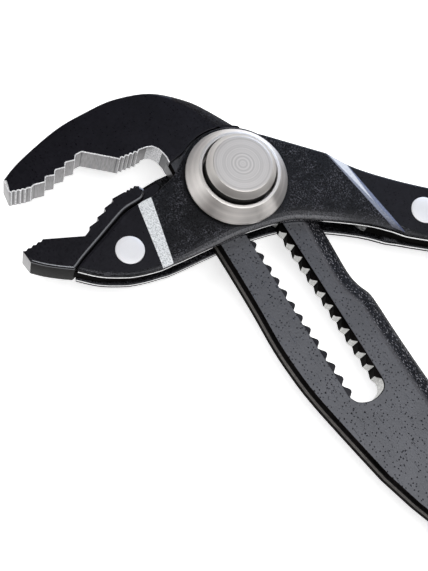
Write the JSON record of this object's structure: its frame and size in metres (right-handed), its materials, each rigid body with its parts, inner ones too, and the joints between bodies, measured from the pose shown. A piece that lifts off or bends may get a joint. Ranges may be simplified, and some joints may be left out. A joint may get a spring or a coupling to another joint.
{
  "type": "water pump pliers",
  "caption": "Adjustable water pump pliers: a slotted lever with a toothed jaw runs between riveted side plates and locks in its notches with a push button.",
  "frame": {"origin": "where the pivot axis meets the face that the tool lies on, in the middle of the rear cap", "axes": "+X from the jaws to the handles, +Z along the pivot axis and out of the button"},
  "size_m": [0.2918, 0.1549, 0.025],
  "materials": {
    "black_paint": "satin black",
    "grey_paint": "dark grey with fine pits",
    "turned_steel": "turned satin",
    "rivet_steel": "ground flush",
    "hardened_steel": "hardened grey",
    "spring_steel": "drawn wire",
    "grip_plastic": "moulded, fine grain",
    "grip_rubber": "moulded, soft"
  },
  "bodies": {
    "fixed_lever": {"front_plate": "black_paint", "rear_plate": "black_paint", "lower_jaw": "black_paint", "handle_core": "black_paint", "jaw_rivet": "rivet_steel", "handle_rivet_1": "rivet_steel", "handle_rivet_2": "rivet_steel", "handle_rivet_3": "rivet_steel", "button_collar": "turned_steel", "rear_cap": "turned_steel", "cap_rivet_1": "rivet_steel", "cap_rivet_2": "rivet_steel", "cap_rivet_3": "rivet_steel", "upper_grip_core": "grip_plastic", "upper_grip_sleeve": "grip_rubber"},
    "pivot_core": {"keyed_washer": "hardened_steel", "return_spring": "spring_steel"},
    "moving_lever": {"slotted_lever": "grey_paint", "lower_grip_core": "grip_plastic", "lower_grip_sleeve": "grip_rubber"},
    "push_lock": {"locking_plunger": "hardened_steel", "push_button": "turned_steel"}
  },
  "joints": [
    {"name": "lever_pivot", "type": "hinge", "parent": "fixed_lever", "child": "pivot_core", "pos_m": [0, 0, 0.01], "axis": [0, 0, 1], "range_deg": [-22, 15]},
    {"name": "jaw_adjust", "type": "slide", "parent": "pivot_core", "child": "moving_lever", "axis": [-0.8926, 0.4509, 0], "range_m": [0, 0.048]},
    {"name": "button_press", "type": "slide", "parent": "pivot_core", "child": "push_lock", "axis": [0, 0, -1], "range_m": [0, 0.003], "stiffness_N_per_m": 600, "springref_m": -0.003, "deforming": ["return_spring"]}
  ]
}
